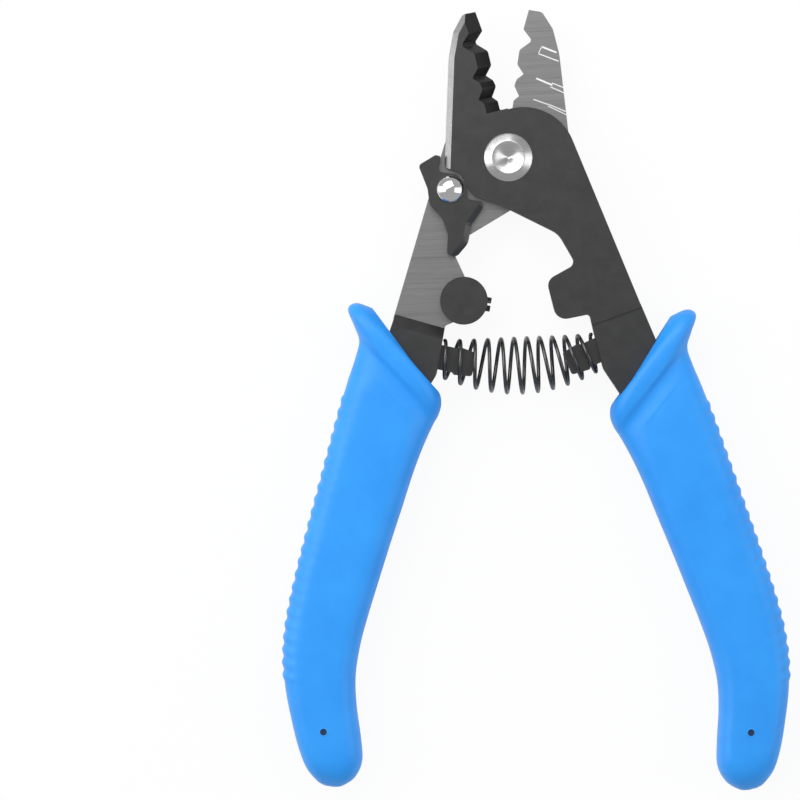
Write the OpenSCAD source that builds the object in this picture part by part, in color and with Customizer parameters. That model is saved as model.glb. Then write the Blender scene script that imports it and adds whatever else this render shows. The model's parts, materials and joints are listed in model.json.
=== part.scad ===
// Three-hole fibre stripper. Two half-lapped levers turn on one pivot screw; a barrel spring holds them open,
// a strut latch sits on the rear lever, a staked screw sets the closed position, and each tang carries a moulded grip.
// Millimetres. +Y points along the jaws, +Z leaves the front face, z = 0 is the plane the tool lies on. Rest pose: open.

/* [Jaws] */
// Pivot centre to jaw tip
jaw_length = 31.4; // [28:0.1:36]
// How far each cutting edge reaches past the centre line when closed
edge_overlap = 1.35; // [0.8:0.05:1.8]
// Pivot centre to the outer, jacket stripping hole
hole_1_reach = 25.1; // [24:0.1:26]
// Width of the jacket stripping hole
hole_1_size = 1.3; // [0.6:0.05:1.8]
// Pivot centre to the middle, buffer stripping hole
hole_2_reach = 17.9; // [17:0.1:18.5]
// Width of the buffer stripping hole
hole_2_size = 0.4; // [0.2:0.02:0.8]
// Pivot centre to the inner, coating stripping hole
hole_3_reach = 13.2; // [12.8:0.1:13.8]
// Width of the coating stripping hole
hole_3_size = 0.16; // [0.1:0.01:0.3]
// Width of the ground bevel on the back of each jaw
side_bevel = 1.2; // [0.4:0.1:1.8]

/* [Levers] */
// Pivot centre to the end of the rear grip, straight down
handle_length = 136.2; // [132:0.1:142]
// Centre line to the outer edge of a grip when closed
handle_spread = 29.8; // [28.5:0.1:31]
// Angle between the levers from closed to open
open_angle = 23.6; // [18:0.1:24]
// Thickness of one lapped blade
blade = 3; // [2.4:0.1:3.5]
// Gap between the two ground lap faces
lap_gap = 0.06; // [0.02:0.01:0.12]
// Radius of the hub round the pivot
hub_radius = 11.1; // [10:0.1:12]
// Thickness of the tang inside a grip
tang = 5; // [4:0.1:5.6]
// Width of the slope where the ground lap face rises to the tang
step_slope = 2.4; // [1.5:0.1:3]

/* [Pivot] */
// Diameter of the pivot shank
pivot_d = 6; // [5:0.1:7]
// Radial running clearance of the rear lever on the shank
pivot_fit = 0.04; // [0.02:0.01:0.09]
// Diameter of the screw head at its base
head_d = 10.2; // [9:0.1:12]
// Diameter of the turned face on the head
face_d = 6.9; // [5:0.1:8]
// Height of the screw head
head_height = 1.1; // [0.6:0.1:1.8]
// Diameter of the washer behind the rear lever
washer_d = 11; // [10:0.1:13]
// Thickness of the washer
washer_thickness = 0.5; // [0.3:0.1:0.8]
// Width across the flats of the thin nut
nut_flats = 9; // [8:0.1:10]
// Thickness of the nut
nut_thickness = 2.2; // [1.6:0.1:2.6]

/* [Latch and stop] */
// Thickness of the latch plate
latch_thickness = 2.3; // [1.6:0.1:2.8]
// Diameter of the latch rivet
rivet_d = 3; // [2.4:0.1:3.6]
// Diameter of the domed rivet head
dome_d = 5.8; // [5:0.1:6.4]
// Height of the domed rivet head
dome_height = 1.5; // [0.8:0.1:2.2]
// Diameter of the boss that holds the stop screw
boss_d = 10; // [8.6:0.1:10.2]
// Diameter of the stop screw
stop_d = 3; // [2:0.1:3.4]

/* [Return spring] */
// Wire diameter
wire_d = 0.8; // [0.5:0.05:1]
// Number of turns
turns = 11; // [8:1:13]
// Mean coil diameter on the seats
coil_end_d = 7.5; // [7.4:0.1:8.4]
// Mean coil diameter at the middle
coil_mid_d = 11.5; // [9:0.1:12]
// Length of a spring seat tab
seat_length = 7.8; // [5.4:0.1:8]
// Width across the barbs of a seat tab
seat_width = 6; // [5:0.1:6.2]
// Thickness of a seat tab
seat_thickness = 2.2; // [1.4:0.1:2.2]

/* [Grips] */
// Half of the thickness across the flat faces
grip_half = 7; // [6:0.1:8]
// Number of ribs on the outer edge
ribs = 22; // [8:1:26]
// Height of a rib
rib_height = 0.4; // [0:0.05:0.8]
// Diameter of the small hole near the end
end_hole_d = 1.5; // [1:0.1:2.5]
// How much further down its tang the front grip sits
grip_drop = 4.7; // [3:0.1:6]

/* [Hidden] */
$fn = 64;
half_angle = open_angle / 2;
lap = lap_gap / 2;
// Moves the pivot so that the row origin is the bottom centre of the open tool
origin_shift = [-1.606, 51.842, 7];
bevel_45 = cos(45);
stop_y = -31;
stop_face = 1.55;
boss_at = [4.2, -31.1];
rivet_at = [10.9, -8.6];
flank = [[6.3, -18.1, 5], [-3.4, -9.8, 14], [-9.1, -5.95, 3], [-10.5, -0.7, 1.4], [-13.4, 1.3, 1.1]];
jaw_back = [[-13.4, 1.3], [-7, 23.4], [-4.8, jaw_length - 3.1], [-2, jaw_length]];

function unit(v) = v / norm(v);
function xy(p) = [p[0], p[1]];
function turn(d) = d > 180 ? d - 360 : d < -180 ? d + 360 : d;
// The corner at p = [x, y, radius] between neighbours a and b, as an arc of short chords
function corner(a, p, b) =
    len(p) < 3 || p[2] == 0 ? [xy(p)] :
    let (u = unit(xy(a) - xy(p)), v = unit(xy(b) - xy(p)), half = acos(u * v) / 2,
        c = xy(p) + unit(u + v) * p[2] / sin(half),
        s = xy(p) + u * p[2] / tan(half) - c, e = xy(p) + v * p[2] / tan(half) - c,
        from = atan2(s[1], s[0]), sweep = turn(atan2(e[1], e[0]) - from),
        n = max(1, ceil(abs(sweep) / (p[2] > 4 ? 5 : 12))))
    [for (i = [0:n]) c + p[2] * [cos(from + sweep * i / n), sin(from + sweep * i / n)]];
function rounded(path) = let (n = len(path))
    [for (i = [0:n - 1]) each corner(path[(i + n - 1) % n], path[i], path[(i + 1) % n])];

// Moves a point of the handles, below y = -50, to the chosen length and spread
function shaped(x, y) = let (w = min(1, max(0, (-y - 50) / 30)))
    [x * (1 + w * (handle_spread / 29.8 - 1)), y > -50 ? y : -50 + (y + 50) * (handle_length - 50) / 86.2];

// Removes the edge from p to q at height z, width w in plan and depth d; material lies to the left of p to q
module bevel(p, q, w, d, z, over = 1) {
    v = q - p;
    translate([p[0], p[1], z]) rotate([0, 0, atan2(v[1], v[0])]) translate([-over, 0, 0]) rotate([90, 0, 90])
        linear_extrude(norm(v) + 2 * over) polygon([[-1, -d * (w + 1) / w], [w + w / d, 1], [-1, 1]]);
}

module bevel_under(p, q, w, d, z, over = 1) {
    translate([0, 0, z]) mirror([0, 0, 1]) bevel(p, q, w, d, 0, over);
}

// Cutting edge in the lap plane, tip to hub: three V notches with rounded roots between rounded lobes
function cutting_edge() = rounded([
    [8, jaw_length + 2], [edge_overlap - 0.5, jaw_length + 2], [edge_overlap - 0.5, jaw_length, 0.5],
    [edge_overlap - 0.05, jaw_length - 4.2, 0.5], [-hole_1_size / 2 - 0.25, hole_1_reach, hole_1_size / 2],
    [edge_overlap + 0.05, hole_1_reach - 2.3, 1], [edge_overlap, hole_1_reach - 5.4, 0.8],
    [-hole_2_size / 2 - 0.08, hole_2_reach, hole_2_size / 2], [edge_overlap - 0.4, hole_2_reach - 1.3, 0.4],
    [edge_overlap - 0.1, hole_3_reach + 2, 0.9], [-hole_3_size / 2 - 0.03, hole_3_reach, hole_3_size / 2],
    [edge_overlap - 0.5, hole_3_reach - 1.1, 0.3], [edge_overlap - 0.5, 10], [8, 10]]);

// Ground bevel behind the cutting edge: the same profile swept up at 45 degrees away from the gap
module edge_cut()
    rotate([0, -45, 0]) translate([0, 0, -9])
        linear_extrude(18) polygon([for (p = cutting_edge()) [p[0] * bevel_45, p[1]]]);

// Spring seat: a neck that the end coils grip, and a barbed head
module seat(root, angle) {
    w = seat_width / 2;
    translate([root[0], root[1], -seat_thickness / 2]) rotate([0, 0, angle]) linear_extrude(seat_thickness)
        polygon(rounded([[-2.5, 0.4 - w], [3.6, 0.4 - w], [4, -w, 0.2], [seat_length, -w + 0.5, 0.6],
            [seat_length, w - 0.5, 0.6], [4, w, 0.2], [3.6, w - 0.4], [-2.5, w - 0.4]]));
}

// One lever in its closed pose. Its own blade is above z = 0 and its ground lap face looks down.
module lever(blade_path, tang_path, step_a, step_b) {
    difference() {
        union() {
            translate([0, 0, lap]) linear_extrude(blade - lap) polygon(rounded(blade_path));
            difference() {
                translate([0, 0, -tang / 2]) linear_extrude(tang) polygon(rounded(tang_path));
                bevel_under(step_b, step_a, step_slope, tang / 2 - 0.4, -tang / 2);
            }
        }
        edge_cut();
        for (i = [0:2]) bevel(jaw_back[i + 1], jaw_back[i], side_bevel, side_bevel, blade, 0.6);
    }
}

function blade_path(side, below) = concat([[-2, jaw_length, 1.2], [2.4, jaw_length], [2.4, 9.8],
    [12.55, 9.8, hub_radius]], side, below, flank, [[-7, 23.4, 10], [-4.8, jaw_length - 3.1, 2.5]]);

// Tang from the step to its end; the part below y = -50 follows the grip, moved by [x, y]
tang_keys = [[21.2, -57.3, 30], [26.1, -95.3, 40], [25.7, -109.3, 30], [20.6, -126.3, 2], [13.5, -126.3, 2],
    [16.9, -109.3, 30], [16.7, -95.3, 40], [11.3, -57.3, 20]];
function tang_path(a, b, inner, move) =
    concat([b], [for (k = tang_keys) let (p = shaped(k[0], k[1])) [p[0] + move[0], p[1] + move[1], k[2]]], [inner, a]);

front_step = [[8.5, -37.4], [19.45, -36.5]];
rear_step = [[7.2, -37.5], [17.95, -36.3]];
front_move = [2.3, -grip_drop];
front_tang = tang_path(front_step[0], front_step[1], [8.6, -47.8, 3], front_move);
rear_tang = tang_path(rear_step[0], rear_step[1], [7.3, -47.4, 3], [0, 0]);

module place() translate(origin_shift) children();
module open_front() place() rotate([0, 0, half_angle]) children();
module open_rear() place() rotate([0, 0, -half_angle]) children();
// The rear lever is laid out like the front one and turned over about Y
module turned() rotate([0, 180, 0]) children();

module front_lever() color([0.16, 0.16, 0.165]) open_front() difference() {
    union() {
        lever(blade_path([[19.5, -37.2], [8.5, -38.3]],
            [[8.5, -36, 0.7], [stop_face, -35.7, 2.6], [stop_face, -26.9, 2.2], [8.3, -25.1, 1.4]]),
            front_tang, front_step[0], front_step[1]);
        seat([9.2, -43.6], 190);
    }
    translate([0, 0, -1]) cylinder(d = pivot_d, h = blade + 2);
}

module stop_bore() translate([-9, stop_y, 0]) rotate([0, 90, 0]) cylinder(d = stop_d, h = 12);

module rear_lever() color([0.5, 0.5, 0.5]) open_rear() difference() {
    turned() difference() {
        union() {
            lever(blade_path([[18.2, -37.3], [7.2, -38.3]],
                [[7.2, -36.9, 0.8], [4.2, -35], [4.2, -27], [7.7, -21.9, 1.5]]),
                rear_tang, rear_step[0], rear_step[1]);
            translate([boss_at[0], boss_at[1], -tang / 2]) cylinder(d = boss_d, h = blade + tang / 2);
            seat([7.6, -43.6], 183);
        }
        translate([0, 0, -1]) cylinder(d = pivot_d + 2 * pivot_fit, h = blade + 2);
        translate([rivet_at[0], rivet_at[1], -1]) cylinder(d = rivet_d, h = blade + 2);
    }
    stop_bore();
}

module pivot_screw() color([0.75, 0.75, 0.76]) open_front() {
    low = -blade - lap - washer_thickness - nut_thickness - 0.2;
    translate([0, 0, low]) cylinder(d = pivot_d, h = blade - low);
    translate([0, 0, blade]) cylinder(d = head_d, h = 0.2);
    translate([0, 0, blade + 0.2]) cylinder(d1 = head_d, d2 = face_d, h = head_height - 0.2);
}

module pivot_washer() color([0.6, 0.6, 0.6]) open_front() translate([0, 0, -blade - lap - washer_thickness])
    difference() {
        cylinder(d = washer_d, h = washer_thickness);
        translate([0, 0, -1]) cylinder(d = pivot_d, h = washer_thickness + 2);
    }

module pivot_nut() color([0.3, 0.3, 0.3]) open_front()
    translate([0, 0, -blade - lap - washer_thickness - nut_thickness]) difference() {
        cylinder(d = nut_flats / cos(30), h = nut_thickness, $fn = 6);
        translate([0, 0, -1]) cylinder(d = pivot_d, h = nut_thickness + 2);
    }

// Strut latch: thumb horn and hook at the top, spur that follows the front lever's flank, tapering tail
latch_path = [[-7.4, 3.9, 0.8], [-4.25, 6.6, 0.5], [-3.1, 6.55, 0.4], [-3, 3.3, 0.6], [0.8, 3.3, 1.2], [3.4, 1.2, 1.3],
    [3.9, -1.4, 0.7], [7.5, -1.35, 0.9], [7.3, -3, 0.7], [5.6, -6.6, 2], [5.6, -10.5, 3], [3.7, -13.7, 1.4],
    [1.6, -13.6, 1], [1.1, -9.4, 2], [-0.6, -6.2, 3], [-3.7, -3.9, 2], [-4.7, -0.6, 2]];

module latch() color([0.2, 0.2, 0.2]) open_rear() translate([-rivet_at[0], rivet_at[1], 0]) difference() {
    translate([0, 0, 0.05]) linear_extrude(latch_thickness) polygon(rounded(latch_path));
    translate([0, 0, -1]) cylinder(d = rivet_d + 0.08, h = latch_thickness + 2);
    bevel([3.7, -13.7], [5.6, -10.5], 1.2, 1, latch_thickness + 0.05, 0.4);
    bevel([5.6, -10.5], [5.6, -6.6], 1.2, 1, latch_thickness + 0.05, 0.4);
    bevel([5.6, -6.6], [7.3, -3], 1.2, 1, latch_thickness + 0.05, 0.4);
}

module latch_rivet() color([0.8, 0.8, 0.8]) open_rear() translate([-rivet_at[0], rivet_at[1], 0]) {
    base = latch_thickness + 0.1;
    ball = (dome_d * dome_d / 4 + dome_height * dome_height) / (2 * dome_height);
    translate([0, 0, -blade]) cylinder(d = rivet_d, h = blade + base);
    intersection() {
        translate([0, 0, base + dome_height - ball]) sphere(r = ball);
        translate([0, 0, base]) cylinder(d = dome_d + 2, h = dome_height + 1);
    }
    translate([0, 0, -blade - 0.5]) cylinder(d1 = 3.6, d2 = 4.4, h = 0.5);
}

module stop_screw() color([0.12, 0.12, 0.12]) open_rear() difference() {
    translate([-8.8, stop_y, 0]) rotate([0, 90, 0]) cylinder(d = stop_d, h = 8.8 + stop_face - 0.05);
    translate([stop_face - 0.85, stop_y - 0.25, -3]) cube([2, 0.5, 6]);
}

// Spring axis: a cubic from the rear seat to the front seat, in the open pose
spring_ends = [[-15.7, -41.4], [17, -41.3]];
spring_ways = [[34.6, -9], [31.2, 9.4]];
function axis_at(t) = let (a = spring_ends[0], b = spring_ends[1], m = spring_ways[0], n = spring_ways[1])
    (2 * pow(t, 3) - 3 * t * t + 1) * a + (pow(t, 3) - 2 * t * t + t) * m
    + (3 * t * t - 2 * pow(t, 3)) * b + (pow(t, 3) - t * t) * n;
function axis_way(t) = unit(axis_at(min(1, t + 0.01)) - axis_at(max(0, t - 0.01)));
function coil_r(t) = (coil_end_d + (coil_mid_d - coil_end_d) * sin(180 * t)) / 2;
function coil_point(s, dr, dx) = let (c = axis_at(s), w = axis_way(s), a = 360 * turns * s + 90, r = coil_r(s) + dr)
    [c[0] + w[0] * dx - w[1] * r * sin(a), c[1] + w[1] * dx + w[0] * r * sin(a), -r * cos(a)];
module return_spring() color([0.1, 0.1, 0.1]) place() {
    steps = turns * 18;
    ring = 6;
    points = [for (i = [0:steps]) for (k = [0:ring - 1])
        coil_point(i / steps, wire_d / 2 * cos(360 * k / ring), wire_d / 2 * sin(360 * k / ring))];
    sides = [for (i = [0:steps - 1]) for (k = [0:ring - 1])
        [i * ring + k, i * ring + (k + 1) % ring, (i + 1) * ring + (k + 1) % ring, (i + 1) * ring + k]];
    polyhedron(points, concat(sides, [[for (k = [ring - 1:-1:0]) k]], [[for (k = [0:ring - 1]) steps * ring + k]]));
}

// Grip stations from lip to end, each [outer x, outer y, inner x, inner y, half thickness]
grip_keys = [[22.9, -35.8, 8.2, -50, 5.6], [26.4, -35.3, 6.2, -50.9, 7.2], [27.9, -36.9, 5.3, -53.2, 7.9],
    [26, -40.2, 5.5, -55.6, 7.5], [24.5, -43, 6.2, -57.6, 6.5], [24.7, -46.8, 7, -60.4, 6.9],
    [25.5, -52, 7.9, -64.2, 7.4], [26.3, -59, 8.8, -69, 7.5], [27.2, -68.5, 9.8, -76, 7.5],
    [28.2, -79, 11, -84, 7.5], [29.1, -89, 12.1, -92, 7.5], [29.7, -98, 13.1, -99.5, 7.5],
    [29.8, -104.5, 13.7, -106, 7.5], [29.2, -111, 13.6, -112.5, 7.5], [27.7, -117.5, 12.4, -118.5, 7.5],
    [25.2, -124.2, 10.4, -125, 7.5], [22.9, -129.4, 9.3, -129.8, 7.2], [20.6, -133.2, 10.2, -133.4, 6],
    [18, -135.5, 12.4, -135.6, 3.8], [16.4, -136.2, 14, -136.2, 1.6]];
function blend4(a, b, c, d, u) = b + 0.5 * u * (c - a + u * (2 * a - 5 * b + 4 * c - d + u * (3 * (b - c) + d - a)));
function key_at(t) = let (n = len(grip_keys) - 1, i = min(floor(t), n - 1))
    blend4(grip_keys[max(i - 1, 0)], grip_keys[i], grip_keys[i + 1], grip_keys[min(i + 2, n)], t - i);
rib_from = 5.2;
rib_to = 13;
grip_steps = concat([for (t = [0:0.5:rib_from - 0.1]) [t, 0]],
    [for (i = [0:2 * ribs]) [rib_from + (rib_to - rib_from) * i / (2 * ribs), i % 2 == 1 ? rib_height : 0]],
    [for (t = [rib_to + 0.5:0.5:len(grip_keys) - 1]) [t, 0]]);
function power(v, e) = sign(v) * pow(abs(v), e);
function section(t, rib) = let (k = key_at(t), o = shaped(k[0], k[1]), i = shaped(k[2], k[3]), c = (o + i) / 2, w = (o - i) / 2)
    [for (a = [7.5:15:359]) let (u = power(cos(a), 0.62), p = c + w * u + unit(w) * rib * max(0, cos(a)))
        [p[0], p[1], max(-grip_half, min(t < 5 ? 9 : grip_half, k[4] * power(sin(a), 0.62)))]];
module grip_shell() {
    n = 24;
    m = len(grip_steps);
    points = [for (s = grip_steps) each section(s[0], s[1])];
    sides = [for (i = [0:m - 2]) for (k = [0:n - 1]) each [
        [i * n + k, i * n + (k + 1) % n, (i + 1) * n + (k + 1) % n], [i * n + k, (i + 1) * n + (k + 1) % n, (i + 1) * n + k]]];
    polyhedron(points, concat(sides, [[for (k = [n - 1:-1:0]) k]], [[for (k = [0:n - 1]) (m - 1) * n + k]]));
}

module grip(path, move) difference() {
    hole = shaped(18.3, -124.9) + move;
    translate([move[0], move[1], 0]) grip_shell();
    translate([0, 0, -tang / 2]) linear_extrude(tang) polygon(rounded(path));
    for (z = [tang / 2, -grip_half - 1])
        translate([hole[0], hole[1], z]) cylinder(d = end_hole_d, h = grip_half + 1 - tang / 2);
}

module front_grip() color([0.1, 0.5, 0.95]) open_front() grip(front_tang, front_move);
module rear_grip() color([0.1, 0.5, 0.95]) open_rear() mirror([1, 0, 0]) grip(rear_tang, [0, 0]);

front_lever();
rear_lever();
pivot_screw();
pivot_washer();
pivot_nut();
latch();
latch_rivet();
stop_screw();
return_spring();
front_grip();
rear_grip();
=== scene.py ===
import json
import math

import bmesh
import bpy
import numpy as np
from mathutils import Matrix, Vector

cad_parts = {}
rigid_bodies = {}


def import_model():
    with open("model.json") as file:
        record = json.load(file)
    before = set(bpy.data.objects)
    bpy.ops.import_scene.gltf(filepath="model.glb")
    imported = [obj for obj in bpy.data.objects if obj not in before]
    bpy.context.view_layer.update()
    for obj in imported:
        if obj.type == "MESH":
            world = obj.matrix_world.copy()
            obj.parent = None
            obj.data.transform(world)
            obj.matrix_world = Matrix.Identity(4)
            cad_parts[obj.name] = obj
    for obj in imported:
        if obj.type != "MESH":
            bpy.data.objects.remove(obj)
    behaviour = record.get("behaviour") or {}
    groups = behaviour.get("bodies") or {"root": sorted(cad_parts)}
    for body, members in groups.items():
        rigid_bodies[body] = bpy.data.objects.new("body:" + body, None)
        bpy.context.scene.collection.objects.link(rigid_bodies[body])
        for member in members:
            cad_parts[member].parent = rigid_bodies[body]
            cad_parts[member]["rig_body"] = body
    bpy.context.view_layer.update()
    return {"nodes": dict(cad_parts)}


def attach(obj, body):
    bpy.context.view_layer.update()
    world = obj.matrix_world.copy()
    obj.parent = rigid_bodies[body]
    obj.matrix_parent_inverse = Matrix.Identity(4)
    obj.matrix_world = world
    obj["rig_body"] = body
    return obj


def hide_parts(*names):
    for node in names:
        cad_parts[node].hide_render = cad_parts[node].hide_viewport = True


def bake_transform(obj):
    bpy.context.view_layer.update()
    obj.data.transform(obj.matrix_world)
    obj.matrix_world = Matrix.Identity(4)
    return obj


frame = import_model()
MM = 0.001
HALF = 11.8  # degrees that each lever stands off the centre line in the rest pose
PIVOT = Vector((-1.606, 51.842, 7.0))  # row frame, millimetres
LAP = 6.97  # top of the rear lever's ground face
FRONT_LAP = 7.03  # underside of the front lever's ground face
JAWS_FROM = 55  # the ground bevels of the jaws lie above this Y

# ---------------------------------------------------------------- materials


class Mat:
    """A Principled material with short calls for procedural detail, in millimetres of the row frame."""

    def __init__(self, name, base, rough, metal=0.0, **sockets):
        self.m = bpy.data.materials.new(name)
        self.m.use_nodes = True
        self.t = self.m.node_tree
        self.b = self.t.nodes["Principled BSDF"]
        self.b.inputs["Base Color"].default_value = (*base, 1)
        self.b.inputs["Roughness"].default_value = rough
        self.b.inputs["Metallic"].default_value = metal
        for k, v in sockets.items():
            self.b.inputs[k.replace("_", " ")].default_value = v
        self.heights = []

    def node(self, kind, **inputs):
        n = self.t.nodes.new(kind)
        for k, v in inputs.items():
            s = n.inputs[int(k[1:])] if k[0] == "i" and k[1:].isdigit() else n.inputs[k]
            if isinstance(v, bpy.types.NodeSocket):
                self.t.links.new(v, s)
            else:
                s.default_value = v
        return n

    def place(self, turn=0.0, stretch=(1, 1, 1)):
        """Row-frame millimetres, turned by some degrees about Z and then scaled."""
        c = self.node("ShaderNodeTexCoord").outputs["Object"]
        r = self.node("ShaderNodeMapping", Vector=c, Rotation=(0, 0, math.radians(turn))).outputs[0]
        return self.node("ShaderNodeMapping", Vector=r, Scale=tuple(1000 * s for s in stretch)).outputs[0]

    def noise(self, scale, detail=4.0, turn=0.0, stretch=(1, 1, 1), rough=0.55):
        at = self.place(turn, stretch)
        n = self.node("ShaderNodeTexNoise", Vector=at, Scale=scale, Detail=detail, Roughness=rough)
        return n.outputs[0]

    def math(self, op, a, b):
        n = self.node("ShaderNodeMath", i0=a, i1=b)
        n.operation = op
        return n.outputs[0]

    def span(self, value, a, b, c, d):
        """Maps a..b to c..d, clamped."""
        return self.node("ShaderNodeMapRange", i0=value, i1=a, i2=b, i3=c, i4=d).outputs[0]

    def mix(self, fac, a, b):
        n = self.t.nodes.new("ShaderNodeMix")
        n.data_type = "RGBA"
        for s, v in ((n.inputs[0], fac), (n.inputs[6], a), (n.inputs[7], b)):
            if isinstance(v, bpy.types.NodeSocket):
                self.t.links.new(v, s)
            else:
                s.default_value = v if s is n.inputs[0] else (*v, 1)
        return n.outputs[2]

    def set(self, socket, value):
        self.t.links.new(value, self.b.inputs[socket])

    def bump(self, height, strength, distance):
        """Adds one layer of bump; distance in millimetres."""
        n = self.node("ShaderNodeBump", Height=height, Strength=strength, Distance=distance * MM)
        if self.heights:
            self.t.links.new(self.heights[-1], n.inputs["Normal"])
        self.heights.append(n.outputs[0])
        self.t.links.new(n.outputs[0], self.b.inputs["Normal"])


def black_oxide(name, level=0.085, rough=0.3):
    m = Mat(name, (level,) * 3, rough, 0.85, Specular_IOR_Level=0.5)
    fine, broad = m.noise(9, 5), m.noise(0.35, 3)
    pale = (level * 1.06, level * 1.06, level * 1.08)
    m.set("Base Color", m.mix(m.span(broad, 0.3, 0.7, 0, 1), (level * 0.9,) * 3, pale))
    m.set("Roughness", m.span(fine, 0.25, 0.75, rough - 0.03, rough + 0.05))
    m.bump(fine, 0.12, 0.02)
    return m


def ground_steel(name, level, rough, turn=0.0, lines=0.25, dark=0.85):
    """Ground steel with fine lines along X, turned by some degrees."""
    m = Mat(name, (level,) * 3, rough, 1.0)
    scratch = m.noise(1.0, 6, turn, (0.05, 9, 9), 0.7)
    long = m.noise(1.0, 3, turn, (0.02, 2.2, 2.2), 0.6)
    shade = m.math("ADD", m.math("MULTIPLY", scratch, 0.5), m.math("MULTIPLY", long, 0.5))
    m.set("Base Color", m.mix(m.span(shade, 0.35, 0.65, 0, 1), (level * dark,) * 3, (level * 1.08,) * 3))
    m.set("Roughness", m.span(scratch, 0.3, 0.7, rough - 0.05, rough + 0.08))
    m.bump(scratch, lines, 0.02)
    return m


def grip_material():
    m = Mat("grip_blue", (0.02, 0.32, 0.93), 0.42, 0.0, Specular_IOR_Level=0.45)
    grain = m.noise(7, 3)
    broad = m.noise(0.12, 3)
    m.set("Base Color", m.mix(m.span(broad, 0.3, 0.7, 0, 1), (0.017, 0.3, 0.9), (0.024, 0.34, 0.95)))
    m.set("Roughness", m.span(grain, 0.3, 0.7, 0.38, 0.48))
    m.bump(grain, 0.18, 0.03)
    return m


BLACK = black_oxide("black_oxide")
BLACK_EDGE = black_oxide("black_edge", 0.05, 0.35)
GROUND = ground_steel("ground_face", 0.33, 0.3, 0.0, 0.3)
BEVEL = ground_steel("ground_bevel", 0.42, 0.28, 75, 0.2)
# Painted shade: a near-black copy of the ground bevel steel, for the jaw bevels on one side, standing in for
# their shade
SHADED_BEVEL = ground_steel("ground_bevel_painted_shade", 0.04, 0.3, 90, 0.3)
GRIP = grip_material()
HOLE_SHADE = Mat("hole_shadow", (0.003, 0.02, 0.07), 0.7)
HOLE_SHADE.set("Base Color", HOLE_SHADE.mix(HOLE_SHADE.noise(4, 3), (0.002, 0.015, 0.06), (0.004, 0.025, 0.08)))
WIRE = black_oxide("spring_wire", 0.09, 0.18)
TURNED = ground_steel("turned_steel", 0.62, 0.25, 0, 0.2)
CHROME = ground_steel("polished_dome", 0.75, 0.08, 0, 0.03, 0.97)
PAINT = Mat("white_fill", (0.85, 0.85, 0.85), 0.5)
PAINT.set("Base Color", PAINT.mix(PAINT.span(PAINT.noise(6, 3), 0.3, 0.7, 0, 1), (0.78,) * 3, (0.92,) * 3))

# ---------------------------------------------------------------- geometry helpers


def link(name, mesh):
    o = bpy.data.objects.new(name, mesh)
    bpy.context.scene.collection.objects.link(o)
    return o


def build(name, verts, faces, mats, body, slot, smooth=True):
    """A mesh from row-frame millimetres that rides on a body."""
    me = bpy.data.meshes.new(name)
    me.from_pydata([tuple(c * MM for c in v) for v in verts], [], faces)
    me.validate()
    for m in mats:
        me.materials.append(m.m)
    me.polygons.foreach_set("use_smooth", [smooth] * len(me.polygons))
    o = link(name, me)
    if body:
        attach(o, body)
    return o


def outward(o):
    bm = bmesh.new()
    bm.from_mesh(o.data)
    bmesh.ops.recalc_face_normals(bm, faces=bm.faces)
    bm.to_mesh(o.data)
    bm.free()


def bevel(o, width):
    """Breaks every edge sharper than 28 degrees and keeps the flat faces flat to the eye."""
    b = o.modifiers.new("bevel", "BEVEL")
    b.width = width * MM
    b.segments = 3
    b.limit_method = "ANGLE"
    b.angle_limit = math.radians(28)
    b.harden_normals = True
    b.use_clamp_overlap = True
    b.miter_outer = "MITER_ARC"
    w = o.modifiers.new("face_normals", "WEIGHTED_NORMAL")
    w.weight = 100
    w.keep_sharp = True


def finer(node, name, width, mats, paint=None):
    """The CAD node's own shape with broken edges and better materials, standing for the node."""
    src = frame["nodes"][node]
    me = src.data.copy()
    me.name = name
    me.materials.clear()
    for m in mats:
        me.materials.append(m.m)
    bm = bmesh.new()
    bm.from_mesh(me)
    bmesh.ops.remove_doubles(bm, verts=bm.verts, dist=2e-6)
    flat = math.radians(0.6)
    bmesh.ops.dissolve_limit(bm, angle_limit=flat, verts=bm.verts, edges=bm.edges, delimit=set())
    bm.normal_update()
    for f in bm.faces:
        f.smooth = True
        f.material_index = paint(f.normal, f.calc_center_median() / MM) if paint else 0
    bm.to_mesh(me)
    bm.free()
    o = link(name, me)
    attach(o, src["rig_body"])
    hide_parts(node)
    bevel(o, width)
    return o


def spun(name, profile, at, mats, body, slot, steps=96, paint=None):
    """A solid of revolution about Z at a point, from (radius, z) in millimetres, axis to axis."""
    verts, faces, idx = [], [], []
    n = len(profile)
    for k in range(steps):
        a = 2 * math.pi * k / steps
        verts += [(at[0] + r * math.cos(a), at[1] + r * math.sin(a), at[2] + z) for r, z in profile]
    for k in range(steps):
        for i in range(n - 1):
            a, b = k * n, (k + 1) % steps * n
            faces.append((a + i, b + i, b + i + 1, a + i + 1))
            idx.append(paint[i] if paint else 0)
    o = build(name, verts, faces, mats, None, slot)
    o.data.polygons.foreach_set("material_index", idx[: len(o.data.polygons)])
    bm = bmesh.new()
    bm.from_mesh(o.data)
    bmesh.ops.remove_doubles(bm, verts=bm.verts, dist=1e-7)
    bmesh.ops.recalc_face_normals(bm, faces=bm.faces)
    bm.to_mesh(o.data)
    bm.free()
    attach(o, body)
    return o


def turned(p, degrees):
    a = math.radians(degrees)
    return (p[0] * math.cos(a) - p[1] * math.sin(a), p[0] * math.sin(a) + p[1] * math.cos(a))


def from_front(x, y):
    """A point of the front lever's closed frame, in the row frame at rest."""
    p = turned((x, y), HALF)
    return (p[0] + PIVOT.x, p[1] + PIVOT.y)


def from_rear(x, y):
    """A point of the rear lever's closed frame, in the row frame at rest."""
    p = turned((x, y), -HALF)
    return (p[0] + PIVOT.x, p[1] + PIVOT.y)


# ---------------------------------------------------------------- levers and latch


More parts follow.
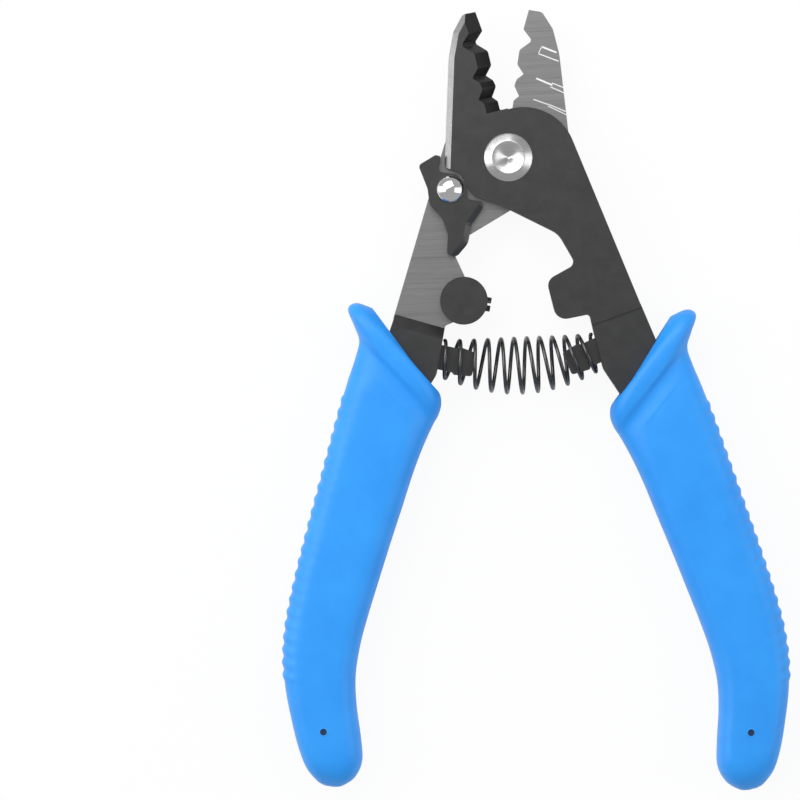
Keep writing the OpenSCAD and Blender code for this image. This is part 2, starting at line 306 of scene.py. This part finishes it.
def paint_front(n, c):
    if n.z < -0.9 and abs(c.z - FRONT_LAP) < 0.02:
        return 1
    # Jaw bevels facing +X take slot 3, the bevel steel darkened as painted shade; those facing -X take the
    # plain bevel steel
    if 0.4 < n.z < 0.9 and c.y > JAWS_FROM and c.z > PIVOT.z:
        return 3 if n.x > 0 else 2
    return 0


def paint_rear(n, c):
    if n.z > 0.9 and abs(c.z - LAP) < 0.02:
        return 1
    # Jaw bevels facing -X take slot 3, the bevel steel darkened as painted shade; those facing +X take the
    # plain bevel steel
    if -0.9 < n.z < -0.4 and c.y > 60 and c.z < 7:
        return 3 if n.x < 0 else 2
    return 0


STEELS = (BLACK, GROUND, BEVEL, SHADED_BEVEL)
finer("front_lever", "front_lever_dressed", 0.25, STEELS, paint_front)
finer("rear_lever", "rear_lever_dressed", 0.2, STEELS, paint_rear)
finer("latch", "latch_dressed", 0.22, (BLACK,))
finer("stop_screw", "stop_screw_dressed", 0.15, (BLACK_EDGE,))
finer("pivot_nut", "pivot_nut_dressed", 0.3, (BLACK,))
finer("pivot_washer", "pivot_washer_dressed", 0.08, (TURNED,))

# ---------------------------------------------------------------- pivot screw and rivet

screw = spun(
    "pivot_screw_dressed",
    [(0, 3.82), (0.5, 3.84), (0.55, 4.0), (3.3, 4.06), (3.42, 4.1), (3.5, 4.06), (4.75, 3.36), (5.0, 3.2),
     (5.1, 3.1), (5.1, 3.0), (3.0, 3.0), (3.0, -5.55), (2.6, -5.92), (0, -5.93)],
    PIVOT, (TURNED,), "front", "turned_steel")
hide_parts("pivot_screw")

rx, ry = from_rear(-10.9, -8.6)
DOME_R, DOME_H, DOME_BASE = 2.9, 1.5, 2.4
ball = (DOME_R ** 2 + DOME_H ** 2) / (2 * DOME_H)
dome = [
    (ball * math.sin(a), DOME_BASE + DOME_H - ball + ball * math.cos(a))
    for a in np.linspace(0, math.asin(DOME_R / ball), 14)]
shank = [(2.86, 2.36), (1.5, 2.36), (1.5, -3.0), (1.8, -3.0), (2.2, -3.45), (2.1, -3.5), (0, -3.5)]
rivet = spun("latch_rivet_dressed", dome + shank, (rx, ry, PIVOT.z), (CHROME,), "rear", "polished_steel")
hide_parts("latch_rivet")

# ---------------------------------------------------------------- return spring

ENDS = np.array([[-15.7, -41.4], [17.0, -41.3]])
WAYS = np.array([[34.6, -9.0], [31.2, 9.4]])
TURNS, WIRE_R = 11, 0.4


def axis_at(t):
    return ((2 * t ** 3 - 3 * t * t + 1) * ENDS[0] + (t ** 3 - 2 * t * t + t) * WAYS[0]
            + (3 * t * t - 2 * t ** 3) * ENDS[1] + (t ** 3 - t * t) * WAYS[1])


def coil():
    per, ring = 40, 12
    steps = TURNS * per
    path = []
    for i in range(steps + 1):
        s = i / steps
        w = axis_at(min(1, s + 0.01)) - axis_at(max(0, s - 0.01))
        w = w / np.linalg.norm(w)
        r = (7.5 + 4.0 * math.sin(math.pi * s)) / 2
        a = 2 * math.pi * TURNS * s + math.pi / 2
        c = axis_at(s)
        off = np.array([-w[1] * r * math.sin(a), w[0] * r * math.sin(a), -r * math.cos(a)])
        path.append(np.array([c[0], c[1], 0.0]) + off + np.array(PIVOT))
    path = np.array(path)
    tangent = np.gradient(path, axis=0)
    tangent /= np.linalg.norm(tangent, axis=1)[:, None]
    centre = np.array([[*(axis_at(i / steps) + np.array(PIVOT)[:2]), PIVOT.z] for i in range(steps + 1)])
    verts, faces = [], []
    for i in range(steps + 1):
        out = path[i] - centre[i]
        out -= tangent[i] * (out @ tangent[i])
        out /= np.linalg.norm(out)
        side = np.cross(tangent[i], out)
        for k in range(ring):
            a = 2 * math.pi * k / ring
            verts.append(tuple(path[i] + WIRE_R * (out * math.cos(a) + side * math.sin(a))))
    for i in range(steps):
        for k in range(ring):
            a, b = i * ring + k, i * ring + (k + 1) % ring
            faces.append((a, b, b + ring, a + ring))
    faces.append(tuple(range(ring - 1, -1, -1)))
    faces.append(tuple(range(steps * ring, steps * ring + ring)))
    return verts, faces


spring = build("return_spring_dressed", *coil(), (WIRE,), None, "spring_steel")
outward(spring)
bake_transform(spring)
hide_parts("return_spring")

# ---------------------------------------------------------------- grips

KEYS = np.array([
    [22.9, -35.8, 8.2, -50, 5.6], [26.4, -35.3, 6.2, -50.9, 7.2], [27.9, -36.9, 5.3, -53.2, 7.9],
    [26, -40.2, 5.5, -55.6, 7.5], [24.5, -43, 6.2, -57.6, 6.5], [24.7, -46.8, 7, -60.4, 6.9],
    [25.5, -52, 7.9, -64.2, 7.4], [26.3, -59, 8.8, -69, 7.5], [27.2, -68.5, 9.8, -76, 7.5],
    [28.2, -79, 11, -84, 7.5], [29.1, -89, 12.1, -92, 7.5], [29.7, -98, 13.1, -99.5, 7.5],
    [29.8, -104.5, 13.7, -106, 7.5], [29.2, -111, 13.6, -112.5, 7.5], [27.7, -117.5, 12.4, -118.5, 7.5],
    [25.2, -124.2, 10.4, -125, 7.5], [22.9, -129.4, 9.3, -129.8, 7.2], [20.6, -133.2, 10.2, -133.4, 6],
    [18, -135.5, 12.4, -135.6, 3.8], [16.4, -136.2, 14, -136.2, 1.6]])
RIBS, RIB_TOP, RIB_END = 23, -54.4, -116.2  # rib count and the stretch of the outer edge that they cover
RIB_HEIGHT = 0.35
GRIP_HALF, LIP_TOP = 7.0, 7.85  # half thickness at the flat faces, and the height of the lip's ridge


def key_at(t):
    n = len(KEYS) - 1
    i = min(int(t), n - 1)
    a, b, c, d = KEYS[max(i - 1, 0)], KEYS[i], KEYS[i + 1], KEYS[min(i + 2, n)]
    u = t - i
    return b + 0.5 * u * (c - a + u * (2 * a - 5 * b + 4 * c - d + u * (3 * (b - c) + d - a)))


def soft_min(v, top, k=0.5):
    """v held under top with a rounded corner."""
    h = max(k - abs(v - top), 0) / k
    return min(v, top) - h * h * k / 4


def grip(name, body, node, place, move, flip):
    """A grip lofted through KEYS, ribbed on its outer edge; flip is -1 on the rear lever."""
    around = 84
    runs = [np.arange(0, 5, 0.05), np.arange(5, 15, 0.02), np.arange(15, 19.01, 0.05), [19.0]]
    ts = sorted(set(np.round(np.concatenate(runs), 4)))
    verts, faces = [], []
    for t in ts:
        k = key_at(t)
        o, i = np.array(k[0:2]), np.array(k[2:4])
        c, w = (o + i) / 2, (o - i) / 2
        out = w / np.linalg.norm(w)
        rib = 0.0
        if t > 5 and RIB_END < k[1] < RIB_TOP:
            wave = math.cos(2 * math.pi * RIBS * (k[1] - RIB_TOP) / (RIB_END - RIB_TOP))
            rib = RIB_HEIGHT * (0.5 - 0.5 * wave)
        for q in range(around):
            a = 2 * math.pi * (q + 0.5) / around
            co, si = math.cos(a), math.sin(a)
            u = math.copysign(abs(co) ** 0.62, co)
            h = k[4] * abs(si) ** 0.62
            top = LIP_TOP if t < 5 and si > 0 else GRIP_HALF
            z = math.copysign(soft_min(h, top), si)
            p = c + w * u + out * rib * max(0.0, co)
            x, y = place((p[0] + move[0]) * flip, p[1] + move[1])
            verts.append((x, y, PIVOT.z + max(z, -GRIP_HALF)))
    n = len(ts)
    for i in range(n - 1):
        for q in range(around):
            a, b = i * around + q, i * around + (q + 1) % around
            faces.append((a, b, b + around, a + around))
    faces.append(tuple(range(around)))
    faces.append(tuple(range((n - 1) * around, n * around)))
    o = build(name, verts, faces, (GRIP,), body, "grip")
    outward(o)
    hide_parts(node)
    return o


grip("front_grip_dressed", "front", "front_grip", from_front, (2.3, -4.7), 1)
grip("rear_grip_dressed", "rear", "rear_grip", from_rear, (0, 0), -1)

# The small hole near the end of each grip: a dark disc of painted shadow inside a raised rim, standing for
# the shaded hole
HOLE_RIM = [(0, 0.02), (0.7, 0.02), (0.78, 0.06), (0.92, 0.05), (1.02, -0.05), (0, -0.05)]
for body, at in (("front", from_front(19.8, -129)), ("rear", from_rear(-18.3, -124.9))):
    top = (*at, PIVOT.z + GRIP_HALF)
    spun(f"{body}_grip_hole", HOLE_RIM, top, (GRIP, HOLE_SHADE), body, "grip", 32, (1, 0, 0, 0, 0))

# ---------------------------------------------------------------- pictograms on the rear jaw


def stroke(name, p, q, width, height=0.02):
    """A painted line on the rear jaw, from p to q in its closed frame."""
    p, q = np.array(p, float), np.array(q, float)
    d = (q - p) / np.linalg.norm(q - p)
    s = np.array([-d[1], d[0]]) * width / 2
    ring = []
    for end, way in ((q, 1), (p, -1)):
        for a in np.linspace(-70, 70, 5):
            r = math.radians(a)
            along, aside = 0.35 * width * math.cos(r), math.sin(r) / math.sin(math.radians(70))
            ring.append(end + way * (d * along + s * aside))
    flat = [from_rear(*r) for r in ring]
    verts = [(x, y, LAP + height) for x, y in flat] + [(x, y, LAP - height) for x, y in flat]
    n = len(flat)
    faces = [tuple(range(n)), tuple(range(2 * n - 1, n - 1, -1))]
    faces += [(i, i + n, (i + 1) % n + n, (i + 1) % n) for i in range(n)]
    o = build(name, verts, faces, (PAINT,), "rear", "turned_steel", False)
    outward(o)
    return o


MARKS = [
    ((3.12, 24.22), (6.32, 23.54), 0.36), ((3.12, 24.22), (2.66, 22.67), 0.16),
    ((2.66, 22.67), (7.10, 21.80), 0.22), ((3.19, 17.46), (6.58, 16.64), 0.36),
    ((6.51, 17.06), (9.06, 16.50), 0.2), ((6.34, 16.20), (9.41, 15.41), 0.2),
    ((3.30, 13.01), (6.47, 12.47), 0.22), ((6.64, 12.50), (10.69, 11.56), 0.2),
    ((6.52, 12.16), (10.80, 10.92), 0.2)]
for i, (p, q, w) in enumerate(MARKS):
    stroke(f"strip_mark_{i + 1}", p, q, w)

# ---------------------------------------------------------------- camera, floor and light

cam = bpy.data.objects.new("camera", bpy.data.cameras.new("camera"))
bpy.context.scene.collection.objects.link(cam)
SENSOR, DISTANCE, SEEN = 36, 1.2, 0.168  # millimetres, then metres to the pivot and metres across the picture
cam.data.lens = SENSOR * DISTANCE / SEEN
cam.data.sensor_width = SENSOR
cam.data.clip_end = 50
cam.location = (-0.02631, 0.00197, 1.207)
cam.rotation_euler = (0, 0, math.radians(-2.3))
bpy.context.scene.camera = cam


def area(name, at, size, power, look=(0, 0, 0.007)):
    d = bpy.data.lights.new(name, "AREA")
    d.shape = "RECTANGLE"
    d.size, d.size_y = size
    d.energy = power
    o = bpy.data.objects.new(name, d)
    bpy.context.scene.collection.objects.link(o)
    o.location = at
    o.visible_camera = False
    o.rotation_mode = "QUATERNION"
    o.rotation_quaternion = (Vector(at) - Vector(look)).to_track_quat("Z", "Y")
    return o


area("softbox_back", (-0.12, 0.34, 0.42), (0.62, 0.42), 1.9, (-0.02, 0.12, 0))
area("softbox_left", (-0.75, 0.1, 0.45), (0.5, 0.9), 2.7)
area("softbox_right", (0.75, -0.05, 0.5), (0.5, 0.9), 1.9)

world = bpy.data.worlds.new("studio")
bpy.context.scene.world = world
world.use_nodes = True
wt = world.node_tree
background = wt.nodes["Background"]
background.inputs["Color"].default_value = (1, 1, 1, 1)
lp = wt.nodes.new("ShaderNodeLightPath")
level = wt.nodes.new("ShaderNodeMapRange")
wt.links.new(lp.outputs["Is Camera Ray"], level.inputs[0])
level.inputs[3].default_value = 0.45
level.inputs[4].default_value = 1.0
wt.links.new(level.outputs[0], background.inputs["Strength"])

FLOOR_Z = -0.0002  # just under the tool, so that nothing touches it
floor_mesh = bpy.data.meshes.new("floor")
corners = [(-4, -4, FLOOR_Z), (4, -4, FLOOR_Z), (4, 4, FLOOR_Z), (-4, 4, FLOOR_Z)]
floor_mesh.from_pydata(corners, [], [(0, 1, 2, 3)])
floor = link("floor", floor_mesh)
fm = bpy.data.materials.new("floor_white")
fm.use_nodes = True
ft = fm.node_tree
fb = ft.nodes["Principled BSDF"]
fb.inputs["Base Color"].default_value = (0.9, 0.9, 0.9, 1)
fb.inputs["Roughness"].default_value = 0.8
em = ft.nodes.new("ShaderNodeEmission")
em.inputs["Strength"].default_value = 1.0
blend = ft.nodes.new("ShaderNodeMixShader")
path = ft.nodes.new("ShaderNodeLightPath")
amount = ft.nodes.new("ShaderNodeMath")
amount.operation = "MULTIPLY"
amount.inputs[1].default_value = 0.93
ft.links.new(path.outputs["Is Camera Ray"], amount.inputs[0])
ft.links.new(amount.outputs[0], blend.inputs[0])
ft.links.new(fb.outputs[0], blend.inputs[1])
ft.links.new(em.outputs[0], blend.inputs[2])
ft.links.new(blend.outputs[0], ft.nodes["Material Output"].inputs["Surface"])
floor_mesh.materials.append(fm)

bpy.context.scene.view_settings.view_transform = "Standard"
